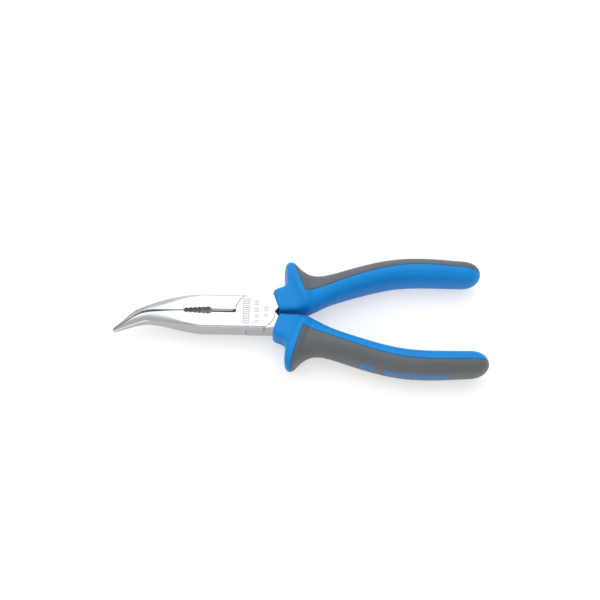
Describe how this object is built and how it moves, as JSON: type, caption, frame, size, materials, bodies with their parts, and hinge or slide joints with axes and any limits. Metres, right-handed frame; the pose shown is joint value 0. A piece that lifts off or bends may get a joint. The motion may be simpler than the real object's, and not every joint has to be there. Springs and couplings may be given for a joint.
{
  "type": "bent needle nose pliers",
  "caption": "Bent needle nose pliers with a lap joint, pipe grip, side cutter and guarded two-component handle grips.",
  "frame": {"origin": "on the pivot axis, where it leaves the flat back face of the head", "axes": "+X from the jaws to the handle ends, +Y towards the handle of the front half, +Z along the pivot axis to the front face"},
  "size_m": [0.1698, 0.0586, 0.0185],
  "materials": {
    "chromed_steel": "polished and chrome plated",
    "rivet_steel": "ground flush",
    "blue_core": "satin moulded",
    "grey_skin": "matte soft-touch"
  },
  "bodies": {
    "front_lever": {"front_half": "chromed_steel", "pivot_rivet": "rivet_steel", "upper_grip_core": "blue_core", "upper_grip_skin": "grey_skin"},
    "rear_lever": {"rear_half": "chromed_steel", "lower_grip_core": "blue_core", "lower_grip_skin": "grey_skin"}
  },
  "joints": [
    {"name": "pivot", "type": "hinge", "parent": "front_lever", "child": "rear_lever", "pos_m": [0, 0, 0.00475], "axis": [0, 0, -1], "range_deg": [0, 45]}
  ]
}
